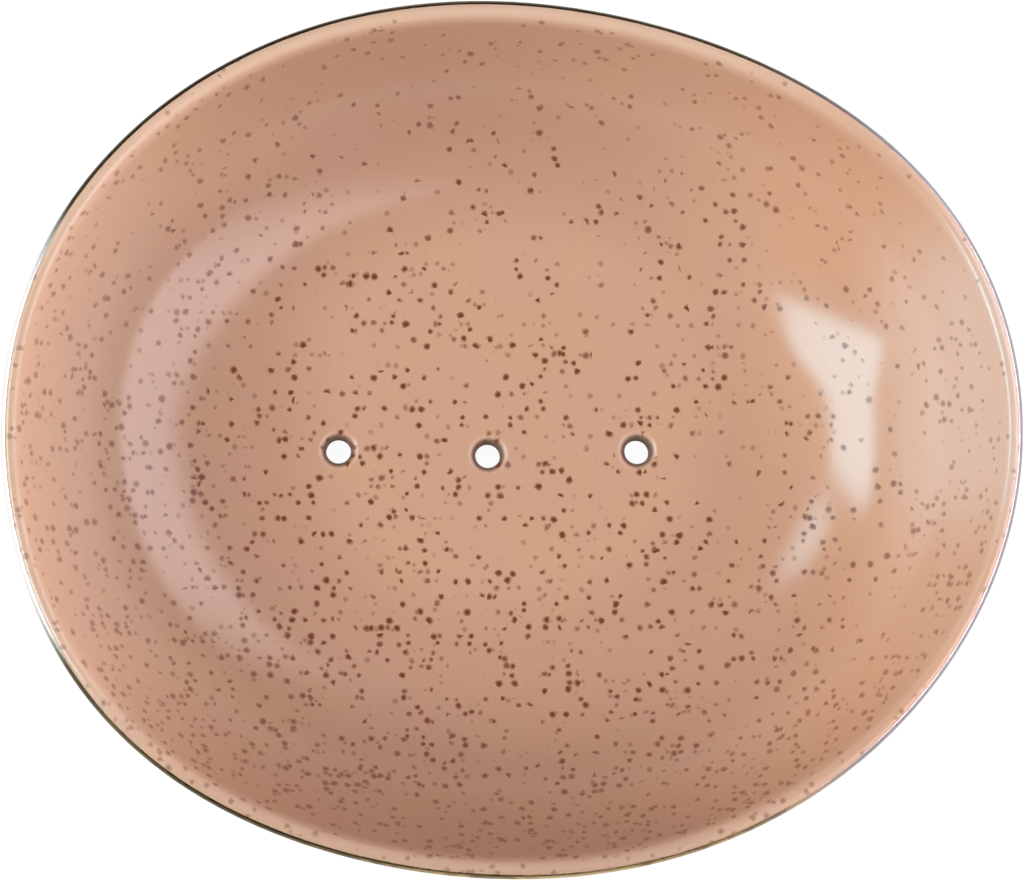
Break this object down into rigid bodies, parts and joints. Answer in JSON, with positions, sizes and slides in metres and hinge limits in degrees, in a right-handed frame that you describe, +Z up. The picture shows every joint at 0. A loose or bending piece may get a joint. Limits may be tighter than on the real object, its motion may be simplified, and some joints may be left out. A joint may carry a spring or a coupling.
{
  "type": "soap dish",
  "caption": "Oval glazed stoneware soap dish with a deep curved bowl, rounded lip with a gold line, a row of drain holes in its floor and small feet.",
  "frame": {"origin": "the table plane under the middle of the dish, at the centre of its outline", "axes": "+Z up, +X along the dish's length towards the right of the picture, +Y towards the top of the picture"},
  "size_m": [0.14, 0.1204, 0.031],
  "materials": {
    "stoneware": "bare fired clay, matt, finely gritty",
    "speckled_glaze": "satin to glossy rosy tan glaze with brown iron specks",
    "gilt": "hand-painted gold lustre, polished, brown where it is thin"
  },
  "bodies": {
    "root": {"bowl_body": "stoneware", "inner_glaze": "speckled_glaze", "outer_glaze": "speckled_glaze", "gilt_rim": "gilt", "foot_front_left": "stoneware", "foot_front_right": "stoneware", "foot_back_left": "stoneware", "foot_back_right": "stoneware"}
  },
  "joints": []
}
